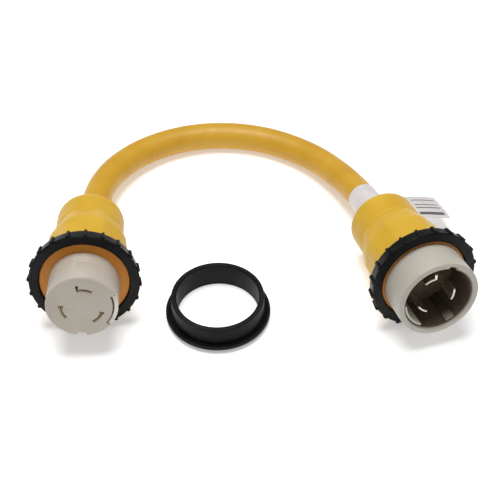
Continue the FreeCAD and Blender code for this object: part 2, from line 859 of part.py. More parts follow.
def cable_corners():
    """The cable's ends on the two connectors' axes, with the chosen corners between."""
    inset, straight = S.cable_inset.number, S.cable_straight.number
    female, male = connector_frame("female"), connector_frame("male")
    behind_female = boot_rear("female").number - straight
    behind_male = boot_rear("male").number - straight
    corners = [female.multVec(Vector(0, 0, inset)), female.multVec(Vector(0, 0, behind_female))]
    corners += [Vector(*corner) for corner in CABLE_CORNERS]
    corners += [male.multVec(Vector(0, 0, behind_male)), male.multVec(Vector(0, 0, inset))]
    return corners


def print_route(corners, wire, shape):
    """Print the bends' radii, and the tube's volume against its section and length."""
    radii = [edge.Curve.Radius for edge in wire.Edges if edge.Curve.TypeId == "Part::GeomCircle"]
    runs = [(b - a).Length for a, b in zip(corners, corners[1:])]
    expected = math.pi * S.cable_radius.number ** 2 * wire.Length
    print("cable runs", [round(run, 1) for run in runs])
    print("cable radii", [round(radius, 1) for radius in radii])
    print("cable length", round(wire.Length, 1))
    hidden = S.cable_inset * 2 - boot_rear("female") - boot_rear("male")
    print("cable free length", round(wire.Length - hidden.number, 1))
    print("cable volume ratio", round(shape.Volume / expected, 4))
    print("cable lowest point", round(shape.BoundBox.ZMin, 2))


def make_cable(doc):
    """Cable jacket between the boots, and the label wrapped round its male end."""
    corners = cable_corners()
    wire = route_wire(corners)
    jacket = doc.addObject("Part::Feature", "cable_jacket")
    jacket.Label = "cable_jacket"
    jacket.Shape = tube(wire, S.cable_radius.number)
    print_route(corners, wire, jacket.Shape)
    make_label_band(doc, wire)
    make_label_flag(doc)


def make_label_band(doc, wire):
    """Label wrapped once round the cable, just behind the male boot."""
    inner = S.cable_radius.number + S.fit_gap.number
    sleeve = tube(wire, inner + S.band_thickness.number).cut(tube(wire, inner))
    reach = S.bulb_radius.number
    rear = (boot_rear("male") - S.band_start - S.band_width).number
    slab = Part.makeBox(2 * reach, 2 * reach, S.band_width.number, Vector(-reach, -reach, rear))
    slab.Placement = connector_frame("male")
    band = doc.addObject("Part::Feature", "label_band")
    band.Label = "label_band"
    band.Shape = sleeve.common(slab)


def make_label_flag(doc):
    """Label's free end: a stiff doubled tongue that leaves the band and droops a little."""
    outside = S.cable_radius + S.fit_gap + S.band_thickness + S.flag_gap
    root = polar(outside.number, S.flag_root_angle.number, 0)
    tip = Vector(S.flag_reach.number, -S.flag_drop.number, 0)
    middle = (root + tip) / 2 + Vector(0, S.flag_drop.number / 8, 0)
    down = Vector(0, -S.flag_thickness.number, 0)
    upper = Part.Arc(root, middle, tip).toShape()
    end = Part.LineSegment(tip, tip + down).toShape()
    lower = Part.Arc(tip + down, middle + down, root + down).toShape()
    start = Part.LineSegment(root + down, root).toShape()
    face = Part.Face(Part.Wire([upper, end, lower, start]))
    flag = doc.addObject("Part::Feature", "label_flag")
    flag.Label = "label_flag"
    flag.Shape = face.extrude(Vector(0, 0, -S.band_width.number))
    start = boot_rear("male") - S.band_start
    lift = FreeCAD.Placement(Vector(0, 0, start.number), FreeCAD.Rotation())
    flag.Placement = connector_frame("male").multiply(lift)


def make_collar(doc):
    """Loose sealing collar: a short tube with a lipped flange, lying flange down."""
    place = FreeCAD.Placement(Vector(SIZES["collar_x"], SIZES["collar_y"], 0), FreeCAD.Rotation())
    body = new_body(doc, "sealing_collar", place)
    edge = S.collar_chamfer
    revolve(body, [
        (S.collar_bore, None),
        (S.collar_radius, None),
        (S.collar_flange, S.collar_flange_low),
        (S.collar_flange, S.collar_flange_top),
        (S.collar_flange - S.collar_lip, S.collar_flange_top),
        (S.collar_radius, S.collar_root),
        (S.collar_radius, S.collar_height - edge),
        (S.collar_radius - edge, S.collar_height),
        (S.collar_bore, S.collar_height),
    ])


# ---------------------------------------------------------------- checks and files

def sub_parts(doc):
    """Every top-level body or feature that is a piece of the object."""
    kinds = ("PartDesign::Body", "Part::Feature")
    return [item for item in doc.Objects if item.TypeId in kinds]


def check(doc):
    """Stop if anything failed, if a pocket cut nothing or if a piece isn't one valid solid."""
    for item in doc.Objects:
        if "Invalid" in item.State or "Error" in item.State:
            raise RuntimeError("{} is {}".format(item.Name, item.State))
        if item.TypeId == "PartDesign::Pocket":
            removed = item.BaseFeature.Shape.Volume - item.Shape.Volume
            if removed < 0.5:
                raise RuntimeError("{} removes {:.3f}".format(item.Name, removed))
    for piece in sub_parts(doc):
        shape = piece.Shape
        if shape.isNull() or not shape.isValid() or len(shape.Solids) != 1:
            raise RuntimeError("{} has {} solids".format(piece.Label, len(shape.Solids)))


def main():
    doc = FreeCAD.newDocument("power_adapter")
    make_sheet(doc)
    make_female(doc)
    make_male(doc)
    make_cable(doc)
    make_collar(doc)
    doc.recompute()
    check(doc)
    os.makedirs("parts", exist_ok=True)
    for piece in sub_parts(doc):
        piece.Shape.exportStep("parts/{}.step".format(piece.Label))
    print("pieces", len(sub_parts(doc)))


main()
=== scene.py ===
import json
import math

import bmesh
import bpy
from mathutils import Matrix, Vector, noise


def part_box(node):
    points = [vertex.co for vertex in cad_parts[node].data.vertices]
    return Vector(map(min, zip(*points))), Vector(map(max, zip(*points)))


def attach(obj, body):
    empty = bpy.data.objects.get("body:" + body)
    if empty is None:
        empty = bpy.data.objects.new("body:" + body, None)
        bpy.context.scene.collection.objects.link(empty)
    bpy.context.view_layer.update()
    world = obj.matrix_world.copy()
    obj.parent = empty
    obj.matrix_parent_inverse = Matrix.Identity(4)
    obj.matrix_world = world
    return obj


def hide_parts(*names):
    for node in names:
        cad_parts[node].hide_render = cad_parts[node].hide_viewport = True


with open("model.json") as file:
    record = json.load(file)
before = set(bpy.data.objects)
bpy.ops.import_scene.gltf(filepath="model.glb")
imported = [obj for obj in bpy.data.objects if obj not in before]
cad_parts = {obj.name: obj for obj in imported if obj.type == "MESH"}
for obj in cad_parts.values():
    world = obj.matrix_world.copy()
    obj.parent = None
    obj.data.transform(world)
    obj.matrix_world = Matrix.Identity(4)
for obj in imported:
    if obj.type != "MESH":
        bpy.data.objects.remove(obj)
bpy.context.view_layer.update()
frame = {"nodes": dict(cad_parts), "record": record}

# A short power lead with a locking connector at each end and a loose sealing collar.
# A connector's own frame has its origin on the axis in the boot's rear part, +Z out of the
# connector's face and +Y on its upper side. Sections, routes and sizes are in millimetres
# and angles in degrees. Values multiplied by MM, the cable's length, and all numbers for the
# camera, lights, floor and materials are in metres.

MM = 0.001


def connector_frame(origin, yaw, tilt):
    """Matrix from a connector's own frame to the object's frame."""
    turn = Matrix.Rotation(math.radians(yaw), 4, "Z")
    lean = Matrix.Rotation(math.radians(90 - tilt), 4, "X")
    return Matrix.Translation(Vector(origin) * MM) @ turn @ lean


FEMALE = connector_frame((-124.69, 44.36, 27.6), 4.1, 10.2)
MALE = connector_frame((98.83, 49.53, 29.34), 17.2, 8.1)
SIDES = {"female": FEMALE, "male": MALE}
# How far each boot's rear face lies behind its frame's origin.
BOOT_REACH = {"female": 12.3, "male": 4.4}

# Both ends of the cable start at the inset on a connector's axis and leave the boot
# straight. The corners between them are in the object's frame.
CABLE_RADIUS = 11.2 * MM
CABLE_INSET = 16.0
CABLE_STRAIGHT = 18.0
CABLE_CORNERS = [
    (-120.0, 121.0, 16.5),
    (-91.3, 159.1, 13.0),
    (-46.9, 179.9, 11.5),
    (4.2, 177.6, 11.2),
    (48.4, 152.5, 12.2),
    (75.9, 113.8, 17.5),
]

CAMERA_PLACE = Vector((-0.00247, -0.52416, 0.5589))
CAMERA_TARGET = Vector((-0.00247, 0.04784, 0.0))
CAMERA_LENS = 73.1

WORLD_STRENGTH = 0.28
FLOOR_GLOW = 0.34
FLOOR_SIZE = 12
FLOOR_HEIGHT = -0.0002


# ---------------------------------------------------------------- camera, light and floor

def add_camera():
    data = bpy.data.cameras.new("camera")
    data.lens = CAMERA_LENS
    camera = bpy.data.objects.new("camera", data)
    camera.location = CAMERA_PLACE
    look = (CAMERA_TARGET - CAMERA_PLACE).to_track_quat("-Z", "Y")
    camera.rotation_euler = look.to_euler()
    bpy.context.collection.objects.link(camera)
    bpy.context.scene.camera = camera


def add_area(name, place, target, size, power):
    data = bpy.data.lights.new(name, "AREA")
    data.shape = "DISK"
    data.size = size
    data.energy = power
    light = bpy.data.objects.new(name, data)
    light.location = place
    look = (Vector(target) - Vector(place)).to_track_quat("-Z", "Y")
    light.rotation_euler = look.to_euler()
    bpy.context.collection.objects.link(light)


def add_studio():
    """A softly glowing white floor under one broad light from above, with weak fill."""
    add_area("key", (-0.1, 0.15, 1.3), (0, 0.05, 0), size=0.8, power=16.5)
    add_area("fill", (0.5, -1.1, 0.7), (0, 0, 0.03), size=0.8, power=0.6)
    world = bpy.data.worlds.new("studio")
    world.use_nodes = True
    back = world.node_tree.nodes["Background"]
    back.inputs["Color"].default_value = (1.0, 1.0, 1.0, 1.0)
    back.inputs["Strength"].default_value = WORLD_STRENGTH
    bpy.context.scene.world = world
    bpy.context.scene.view_settings.view_transform = "Standard"
    bpy.ops.mesh.primitive_plane_add(size=FLOOR_SIZE, location=(0, 0, FLOOR_HEIGHT))
    floor = bpy.context.object
    floor.name = "floor"
    floor.data.materials.append(floor_material())


# ---------------------------------------------------------------- materials

def srgb(red, green, blue):
    """Linear colour from the eight-bit values that it shows as."""
    def linear(value):
        part = value / 255
        return part / 12.92 if part <= 0.04045 else ((part + 0.055) / 1.055) ** 2.4
    return (linear(red), linear(green), linear(blue), 1.0)


class Shader:
    """A material's node tree, with short calls for the nodes that it is made of."""

    def __init__(self, name, roughness=0.5, metallic=0.0):
        self.material = bpy.data.materials.new(name)
        self.material.use_nodes = True
        self.tree = self.material.node_tree
        self.surface = self.tree.nodes["Principled BSDF"]
        self.surface.inputs["Roughness"].default_value = roughness
        self.surface.inputs["Metallic"].default_value = metallic
        self.place = self.node("ShaderNodeTexCoord").outputs["Object"]

    def node(self, kind, **settings):
        made = self.tree.nodes.new(kind)
        for key, value in settings.items():
            setattr(made, key, value)
        return made

    def link(self, source, target):
        self.tree.links.new(source, target)

    def noise(self, scale, detail=3.0, stretch=None, roughness=0.5):
        """Fractal noise, stretched along the object's axes where stretch is given."""
        made = self.node("ShaderNodeTexNoise")
        made.inputs["Scale"].default_value = scale
        made.inputs["Detail"].default_value = detail
        made.inputs["Roughness"].default_value = roughness
        source = self.place
        if stretch:
            mapping = self.node("ShaderNodeMapping")
            mapping.inputs["Scale"].default_value = stretch
            self.link(self.place, mapping.inputs["Vector"])
            source = mapping.outputs["Vector"]
        self.link(source, made.inputs["Vector"])
        return made.outputs["Fac"]

    def ramp(self, factor, stops):
        """Colours along a factor; each stop is a position and a colour."""
        made = self.node("ShaderNodeValToRGB")
        elements = made.color_ramp.elements
        while len(elements) < len(stops):
            elements.new(0.5)
        for element, (position, colour) in zip(elements, stops):
            element.position = position
            element.color = colour
        self.link(factor, made.inputs["Fac"])
        return made.outputs["Color"]

    def spread(self, factor, low, high):
        """A number that runs from low to high as the factor runs from 0.3 to 0.7."""
        made = self.node("ShaderNodeMapRange")
        made.inputs["From Min"].default_value = 0.3
        made.inputs["From Max"].default_value = 0.7
        made.inputs["To Min"].default_value = low
        made.inputs["To Max"].default_value = high
        self.link(factor, made.inputs["Value"])
        return made.outputs["Result"]

    def mix(self, factor, first, second):
        made = self.node("ShaderNodeMix", data_type="RGBA")
        self.link(factor, made.inputs["Factor"])
        for source, socket in ((first, made.inputs["A"]), (second, made.inputs["B"])):
            if isinstance(source, tuple):
                socket.default_value = source
            else:
                self.link(source, socket)
        return made.outputs["Result"]

    def colour(self, source):
        self.link(source, self.surface.inputs["Base Color"])

    def roughness(self, source):
        self.link(source, self.surface.inputs["Roughness"])

    def bump(self, height, distance, strength):
        """Bump on top of any that the surface has already."""
        made = self.node("ShaderNodeBump")
        made.inputs["Distance"].default_value = distance
        made.inputs["Strength"].default_value = strength
        self.link(height, made.inputs["Height"])
        normal = self.surface.inputs["Normal"]
        if normal.is_linked:
            self.link(normal.links[0].from_socket, made.inputs["Normal"])
        self.link(made.outputs["Normal"], normal)


def floor_material():
    shader = Shader("studio_floor", roughness=0.9)
    shader.surface.inputs["Emission Color"].default_value = (1.0, 1.0, 1.0, 1.0)
    shader.surface.inputs["Emission Strength"].default_value = FLOOR_GLOW
    tone = shader.noise(3.0, 2.0)
    shader.colour(shader.ramp(tone, [
        (0.3, (0.93, 0.93, 0.93, 1)), (0.7, (0.95, 0.95, 0.95, 1))]))
    return shader.material


def vinyl_material(name, light, deep, roughness, recess=None):
    """Moulded vinyl: slow clouds of colour, a fine matt grain and faint handling marks.

    The front painted shade colour, a darker tone for shade, shows where the mesh's UV has an X of
    1.
    """
    shader = Shader(name)
    shader.surface.inputs["Specular IOR Level"].default_value = 0.35
    cloud = shader.noise(38.0, 4.0)
    speck = shader.noise(900.0, 2.0)
    base = shader.ramp(cloud, [(0.32, deep), (0.68, light)])
    dark = tuple(0.8 * part for part in deep[:3]) + (1.0,)
    skin = shader.mix(shader.spread(speck, 0.0, 0.12), base, dark)
    # Painted shade: where the UV's X is 1 the skin takes a darker colour for shade.
    if recess:
        parts = shader.node("ShaderNodeSeparateXYZ")
        shader.link(shader.node("ShaderNodeTexCoord").outputs["UV"], parts.inputs["Vector"])
        skin = shader.mix(parts.outputs["X"], skin, recess)
    shader.colour(skin)
    scuff = shader.noise(120.0, 5.0, stretch=(1.0, 0.35, 1.0))
    shader.roughness(shader.spread(scuff, roughness - 0.06, roughness + 0.08))
    shader.bump(shader.noise(2600.0, 2.0), distance=0.00004, strength=0.5)
    shader.bump(shader.noise(160.0, 3.0), distance=0.0001, strength=0.35)
    return shader.material


def black_material(name, dark, light, roughness, grain, gloss):
    """Black moulding: spark-eroded grain, dust-grey patches and worn, shinier places."""
    shader = Shader(name)
    shader.surface.inputs["Specular IOR Level"].default_value = gloss
    cloud = shader.noise(70.0, 5.0)
    shader.colour(shader.ramp(cloud, [(0.35, dark), (0.72, light)]))
    worn = shader.noise(45.0, 4.0)
    shader.roughness(shader.spread(worn, roughness - 0.08, roughness + 0.1))
    shader.bump(shader.noise(grain, 3.0), distance=0.00005, strength=0.6)
    return shader.material


def white_material(name, light, shade, roughness):
    """Off-white moulding: faint flow marks, a little translucency and a satin skin."""
    shader = Shader(name)
    shader.surface.inputs["Subsurface Weight"].default_value = 0.08
    shader.surface.inputs["Subsurface Radius"].default_value = (0.004, 0.003, 0.002)
    flow = shader.noise(24.0, 4.0, stretch=(1.0, 0.4, 1.0))
    shader.colour(shader.ramp(flow, [(0.3, shade), (0.7, light)]))
    shader.roughness(shader.spread(shader.noise(90.0, 4.0), roughness - 0.05, roughness + 0.08))
    shader.bump(shader.noise(1800.0, 2.0), distance=0.00003, strength=0.4)
    return shader.material


def brown_material(name, light, deep):
    """Dark moulded insulator: mottled, with a dull skin."""
    shader = Shader(name)
    mottle = shader.noise(210.0, 5.0, roughness=0.6)
    shader.colour(shader.ramp(mottle, [(0.35, deep), (0.7, light)]))
    shader.roughness(shader.spread(shader.noise(80.0, 4.0), 0.42, 0.6))
    shader.bump(shader.noise(1500.0, 3.0), distance=0.00005, strength=0.5)
    return shader.material


# The rim's end of the strip has the lowest Y. Deeper in, the strip carries painted shade, which
# starts to fade at one share of its depth and is gone at the other.
SMALL_STRIP = "male_ground_strip_small"
SHADE_FADES_FROM = 0.35
SHADE_GONE_AT = 0.08


def rail_material():
    """Small strip on the shroud's wall: painted shade makes it dark and mottled deeper inside,
    fading to brighter plating near the rim.
    """
    shader = Shader("rail_plating", roughness=0.5, metallic=0.3)
    low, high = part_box(SMALL_STRIP)
    parts = shader.node("ShaderNodeSeparateXYZ")
    shader.link(shader.place, parts.inputs["Vector"])
    reach = shader.node("ShaderNodeMapRange", interpolation_type="SMOOTHSTEP")
    reach.inputs["From Min"].default_value = low.y + SHADE_FADES_FROM * (high.y - low.y)
    reach.inputs["From Max"].default_value = low.y + SHADE_GONE_AT * (high.y - low.y)
    shader.link(parts.outputs["Y"], reach.inputs["Value"])
    # Painted shade: a dark mottled brown for the part of the strip deep inside the shroud.
    deep_painted_shade = shader.ramp(shader.noise(210.0, 5.0), [
        (0.35, srgb(70, 60, 50)), (0.7, srgb(92, 80, 68))])
    shader.colour(shader.mix(reach.outputs["Result"], deep_painted_shade, srgb(150, 142, 130)))
    shader.bump(shader.noise(500.0, 4.0), distance=0.00003, strength=0.5)
    return shader.material


def metal_material(name, light, deep, roughness, metallic=1.0):
    """Rolled and plated strip: drawn lines along the blade and slight tarnish."""
    shader = Shader(name, metallic=metallic)
    lines = shader.noise(500.0, 4.0, stretch=(6.0, 0.3, 6.0))
    tarnish = shader.noise(130.0, 4.0)
    shader.colour(shader.ramp(tarnish, [(0.35, deep), (0.65, light)]))
    shader.roughness(shader.spread(lines, roughness - 0.07, roughness + 0.1))
    shader.bump(lines, distance=0.00002, strength=0.5)
    return shader.material


def lead_material(name, light, deep):
    """Insulated lead: extruded vinyl with a faint sheen along its length."""
    shader = Shader(name)
    shader.colour(shader.ramp(shader.noise(150.0, 3.0), [(0.35, deep), (0.65, light)]))
    shader.roughness(shader.spread(shader.noise(400.0, 3.0, stretch=(4.0, 0.5, 4.0)), 0.3, 0.45))
    shader.bump(shader.noise(1200.0, 2.0), distance=0.00003, strength=0.4)
    return shader.material


# Bars on the label's free end: low and high edge across it, then start and end along it,
# as shares of its width and of its reach.
LABEL_BARS = [
    (0.12, 0.24, 0.53, 0.94),
    (0.41, 0.455, 0.54, 0.95),
    (0.56, 0.60, 0.55, 0.94),
    (0.79, 0.83, 0.55, 0.94),
]


def maths(shader, operation, first, second):
    """One step of arithmetic on sockets or plain numbers."""
    made = shader.node("ShaderNodeMath", operation=operation)
    for value, socket in zip((first, second), made.inputs):
        if isinstance(value, float):
            socket.default_value = value
        else:
            shader.link(value, socket)
    return made.outputs["Value"]


def within(shader, reach, width, low, high, start, end):
    """1 inside a bar: low to high across the label's width, start to end along its reach."""
    sides = [
        maths(shader, "GREATER_THAN", width, low),
        maths(shader, "LESS_THAN", width, high),
        maths(shader, "GREATER_THAN", reach, start),
        maths(shader, "LESS_THAN", reach, end),
    ]
    inside = sides[0]
    for side in sides[1:]:
        inside = maths(shader, "MULTIPLY", inside, side)
    return inside


def label_material():
    """Satin label film, with grey bars that stand for its lines of print."""
    shader = Shader("label_film", roughness=0.4)
    uv = shader.node("ShaderNodeTexCoord").outputs["UV"]
    parts = shader.node("ShaderNodeSeparateXYZ")
    shader.link(uv, parts.inputs["Vector"])
    ink = None
    for bar_edges in LABEL_BARS:
        bar = within(shader, parts.outputs["X"], parts.outputs["Y"], *bar_edges)
        ink = bar if ink is None else maths(shader, "MAXIMUM", ink, bar)
    paper = shader.ramp(shader.noise(60.0, 3.0), [
        (0.35, srgb(203, 198, 197)), (0.65, srgb(214, 209, 208))])
    shader.colour(shader.mix(ink, paper, srgb(92, 91, 94)))
    shader.bump(shader.noise(300.0, 3.0), distance=0.00004, strength=0.4)
    return shader.material


def make_materials():
    """One material for each of the record's slots, and two finishes of their own."""
    return {
        "boot_yellow": vinyl_material(
            "boot_vinyl", srgb(211, 170, 51), srgb(201, 157, 38), roughness=0.46,
            # The deeper amber round the boot's front is painted shade.
            recess=srgb(200, 126, 34)),
        "cable_yellow": vinyl_material(
            "cable_vinyl", srgb(203, 158, 47), srgb(194, 146, 36), roughness=0.42),
        "ring_black": black_material(
            "ring_moulding", srgb(9, 11, 11), srgb(20, 22, 22), roughness=0.36,
            grain=1500.0, gloss=0.14),
        "collar_black": black_material(
            "collar_rubber", srgb(20, 20, 20), srgb(31, 31, 31), roughness=0.44,
            grain=1100.0, gloss=0.09),
        "nose_white": white_material(
            "nose_moulding", srgb(186, 178, 166), srgb(176, 167, 153), roughness=0.4),
        "shroud_white": white_material(
            "shroud_moulding", srgb(184, 179, 168), srgb(174, 168, 157), roughness=0.4),
        "insert_brown": brown_material(
            "insert_moulding", srgb(118, 102, 86), srgb(98, 84, 70)),
        "plate_brown": brown_material(
            "plate_moulding", srgb(92, 74, 58), srgb(72, 57, 45)),
        "contact_brass": metal_material(
            "contact_brass", srgb(176, 160, 122), srgb(152, 136, 98), roughness=0.45,
            metallic=0.35),
        "blade_tin": metal_material(
            "blade_plating", srgb(225, 218, 208), srgb(196, 186, 174), roughness=0.3),
        "rail": rail_material(),
        "liner": brown_material("liner_moulding", srgb(98, 85, 72), srgb(80, 69, 58)),
        "strip_metal": metal_material(
            "strip_plating", srgb(226, 222, 210), srgb(204, 198, 186), roughness=0.45,
            metallic=0.15),
        "clamp_steel": metal_material(
            "clamp_zinc", srgb(190, 192, 196), srgb(160, 162, 166), roughness=0.38),
        "screw_steel": metal_material(
            "screw_zinc", srgb(196, 196, 200), srgb(168, 168, 172), roughness=0.3),
        "lead_black": lead_material("lead_black", srgb(32, 32, 33), srgb(22, 22, 23)),
        "lead_red": lead_material("lead_red", srgb(178, 38, 30), srgb(150, 28, 24)),
        "lead_white": lead_material("lead_white", srgb(232, 232, 228), srgb(216, 216, 210)),
        "lead_green": lead_material("lead_green", srgb(40, 130, 62), srgb(28, 104, 48)),
        "label_white": label_material(),
    }


# ---------------------------------------------------------------- mesh helpers

# The rounding of a corner takes up to this share of the runs beside it.
MOST_OF_RUN = 0.48
# In a copy of a CAD mesh, points this close become one, faces flat within this angle are
# joined, and edges sharper than the last angle are bevelled.
CLOSE_POINTS = 0.002
FLAT_WITHIN = 1.0
BEVEL_FROM = 35
BEVEL_STEPS = 2


def held(value):
    """A number kept between 0 and 1."""
    return max(0.0, min(1.0, value))


def eased(share):
    """A share from 0 to 1 with a gentle start and end."""
    return share * share * (3 - 2 * share)


def polar(radius, angle, height=0.0):
    """The point at an angle in degrees, in the radius's own unit."""
    turn = math.radians(angle)
    return Vector((radius * math.cos(turn), radius * math.sin(turn), height))


def rounded(corners, steps=5):
    """Round a section's corners. A corner is radius, height and fillet."""
    outline = []
    count = len(corners)
    for index, (radius, height, fillet) in enumerate(corners):
        corner = Vector((radius, height))
        if not fillet:
            outline.append(corner)
            continue
        before = Vector(corners[index - 1][:2]) - corner
        after = Vector(corners[(index + 1) % count][:2]) - corner
        half = before.angle(after) / 2
        room = MOST_OF_RUN * min(before.length, after.length)
        reach = min(fillet / math.tan(half), room)
        real = reach * math.tan(half)
        inward = (before.normalized() + after.normalized()).normalized()
        centre = corner + inward * (real / math.sin(half))
        first = (corner + before.normalized() * reach - centre).normalized()
        last = (corner + after.normalized() * reach - centre).normalized()
        for step in range(steps + 1):
            outline.append(centre + first.slerp(last, step / steps).normalized() * real)
    return outline


def even_angles(count):
    return [360 * index / count for index in range(count)]


def add_mesh(name, vertices, faces, matrix=None):
    """A piece from points in metres, moved by the matrix where one is given."""
    mesh = bpy.data.meshes.new(name)
    mesh.from_pydata([tuple(point) for point in vertices], [], faces)
    if matrix:
        mesh.transform(matrix)
    mesh.validate()
    piece = bpy.data.objects.new(name, mesh)
    bpy.context.collection.objects.link(piece)
    face_outwards(mesh)
    return piece


def face_outwards(mesh):
    """Turn all faces of a closed mesh the same way, outwards."""
    shape = bmesh.new()
    shape.from_mesh(mesh)
    bmesh.ops.recalc_face_normals(shape, faces=shape.faces)
    shape.to_mesh(mesh)
    shape.free()


def lathe(name, outline, angles, place, reshape=None):
    """Turn a closed section about the Z of a place; reshape(angle, r, z) moves its points."""
    vertices = []
    for angle in angles:
        for radius, height in outline:
            if reshape:
                radius, height = reshape(angle, radius, height)
            vertices.append(polar(radius * MM, angle, height * MM))
    rows, count = len(angles), len(outline)
    faces = []
    for row in range(rows):
        following = (row + 1) % rows
        for index in range(count):
            after = (index + 1) % count
            faces.append((row * count + index, following * count + index,
                          following * count + after, row * count + after))
    piece = add_mesh(name, vertices, faces, place)
    smooth(piece, 40)
    return piece


def swept(name, rows, place):
    """A closed solid through rows of points, each row a section, with a face at both ends."""
    count = len(rows[0])
    vertices = [point for row in rows for point in row]
    faces = [tuple(range(count)), tuple(range(len(vertices) - count, len(vertices)))]
    for start in range(0, len(vertices) - count, count):
        for index in range(count):
            after = (index + 1) % count
            faces.append((start + index, start + count + index,
                          start + count + after, start + after))
    return add_mesh(name, vertices, faces, place)


def smooth(piece, angle):
    """Smooth shading, with edges sharper than the angle kept crisp."""
    limit = math.radians(angle)
    mesh = piece.data
    shape = bmesh.new()
    shape.from_mesh(mesh)
    for face in shape.faces:
        face.smooth = True
    for edge in shape.edges:
        edge.smooth = not (edge.is_manifold and edge.calc_face_angle(0.0) > limit)
    shape.to_mesh(mesh)
    shape.free()


def softened(node, width):
    """A copy of a CAD node's mesh with its sharp edges rounded, which stands for the node."""
    mesh = frame["nodes"][node].data.copy()
    piece = bpy.data.objects.new(node + "_piece", mesh)
    bpy.context.collection.objects.link(piece)
    shape = bmesh.new()
    shape.from_mesh(mesh)
    bmesh.ops.remove_doubles(shape, verts=shape.verts, dist=CLOSE_POINTS * MM)
    bmesh.ops.dissolve_limit(shape, angle_limit=math.radians(FLAT_WITHIN),
                             verts=shape.verts, edges=shape.edges)
    shape.to_mesh(mesh)
    shape.free()
    bevel = piece.modifiers.new("edges", "BEVEL")
    bevel.width = width * MM
    bevel.segments = BEVEL_STEPS
    bevel.limit_method = "ANGLE"
    bevel.angle_limit = math.radians(BEVEL_FROM)
    bake_modifiers(piece)
    smooth(piece, 50)
    return piece


def bake_modifiers(piece):
    """Put the modifiers' result into the piece's own mesh."""
    graph = bpy.context.evaluated_depsgraph_get()
    mesh = bpy.data.meshes.new_from_object(piece.evaluated_get(graph))
    piece.modifiers.clear()
    piece.data = mesh


def finish_piece(piece, node, body, slot, finish=None):
    """Give a piece its material and its body, and hide the CAD node that it stands for.

    The material is the slot's own, unless a finish is named.
    """
    piece.data.materials.clear()
    piece.data.materials.append(MATERIALS[finish or slot])
    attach(piece, body)
    if node:
        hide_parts(node)


# ---------------------------------------------------------------- boots

BULB_RADIUS = 25.5
BULB_LENGTH = 24.6
BULB_ROUND = 10.0
WAIST_RADIUS = 25.2
BODY_RADIUS = 29.7
BODY_START = 42.5
FLAT_TURN = 45.0
FLAT_HALF = 15.0
FLAT_FADE = 3.2
FLAT_CLEARANCE = 2.0
FLAT_END = 1.0
EDGE_SOFTNESS = 0.28
SEAM_HEIGHT = 0.12
SEAM_HALF = 0.3
CABLE_BORE = 11.3
CABLE_WALL = 5.0
CAVITY_START = 14.0
CAVITY_REAR_RADIUS = 19.0
CAVITY_FRONT_RADIUS = 23.5
RING_START = {"female": 62.7, "male": 67.6}
SEAT_RADIUS = {"female": 24.1, "male": 27.1}
NECK_RADIUS = 28.1
FLANGE_RADIUS = 31.9
SEAT_START = 46.0
LIP_WIDTH = 3.5
RING_GAP = 0.4
FLANGE_WIDTH = 4.5
# From this far ahead of the ring's start, the boot's front takes the painted shade colour.
PAINTED_SHADE_START = 6.0
# Points of the section beyond these radii are on the boot's outside: in front of the
# seat's start, and behind it.
OUTSIDE_FRONT = 28.0
OUTSIDE_REAR = 24.5
BOOT_STEP = 1.4
BOOT_CORNER_STEPS = 9
# Columns near a flat's two edges, and between them.
EDGE_COLUMNS = (-2.4, -1.5, -0.9, -0.45, 0.0, 0.45, 0.9, 1.5, 2.4)
FLAT_COLUMNS = {-21.0, -19.0, -10.5, -8.0, -5.0, -2.5, 0.0, 2.5, 5.0, 8.0, 10.5, 19.0, 21.0}


def softer_least(first, second, softness):
    """The smaller of two numbers, with the change from one to the other rounded."""
    share = max(softness - abs(first - second), 0.0) / softness
    return min(first, second) - share * share * softness / 4


def boot_radius(angle, radius, reach):
    """The outside at an angle, with eight faint flats in front of the bulb.

    The reach is measured from the rear face. Near the bulb the flats stand clear of the
    skin, so that they cut nothing there.
    """
    turn = (angle - 90 + FLAT_TURN / 2) % FLAT_TURN - FLAT_TURN / 2
    flat = radius * math.cos(math.radians(FLAT_HALF)) / math.cos(math.radians(turn))
    share = held((reach - BULB_LENGTH) / FLAT_FADE)
    flat += (1 - eased(share)) * FLAT_CLEARANCE
    return softer_least(radius, flat, EDGE_SOFTNESS)


def boot_outline(side):
    """The boot's section, from the cable bore round its outside and back through its seat."""
    rear = -BOOT_REACH[side]
    start = RING_START[side]
    seat = SEAT_RADIUS[side]
    flange = start + LIP_WIDTH + RING_GAP
    front = flange + FLANGE_WIDTH
    corners = [
        (CABLE_BORE, rear, 0.6),
        (BULB_RADIUS, rear, BULB_ROUND),
        (BULB_RADIUS, rear + BULB_LENGTH - 0.5, 1.5),
        (WAIST_RADIUS, rear + BULB_LENGTH + 0.5, 1.5),
        (BODY_RADIUS, rear + BODY_START, 7.0),
        (BODY_RADIUS, start - RING_GAP, 0.8),
        (NECK_RADIUS, start - RING_GAP, 0.3),
        (NECK_RADIUS, flange, 0.3),
        (FLANGE_RADIUS, flange, 0.4),
        (FLANGE_RADIUS, front, 0.8),
        (seat, front, 0.3),
        (seat, SEAT_START, 0.3),
        (CAVITY_FRONT_RADIUS, SEAT_START, 0.3),
        (CAVITY_REAR_RADIUS, CAVITY_START, 0.5),
        (CABLE_BORE, CAVITY_START, 0.3),
    ]
    return finer(rounded(corners, BOOT_CORNER_STEPS), BOOT_STEP, FLANGE_RADIUS)


def finer(outline, step, limit):
    """Divide the long runs of a section's outside, so that flats and ribs have points."""
    points = []
    for index, point in enumerate(outline):
        after = outline[(index + 1) % len(outline)]
        points.append(point)
        length = (after - point).length
        inner, outer = sorted((point[0], after[0]))
        outside = inner > CABLE_BORE + CABLE_WALL and outer <= limit
        pieces = math.ceil(length / step) if outside else 1
        points += [point.lerp(after, part / pieces) for part in range(1, pieces)]
    return points


def boot_angles():
    """Columns round the boot: close together along each flat's two edges."""
    offsets = {turn + step for turn in (-FLAT_HALF, FLAT_HALF) for step in EDGE_COLUMNS}
    offsets |= FLAT_COLUMNS
    return sorted(FLAT_TURN * flat + offset for flat in range(8) for offset in offsets)


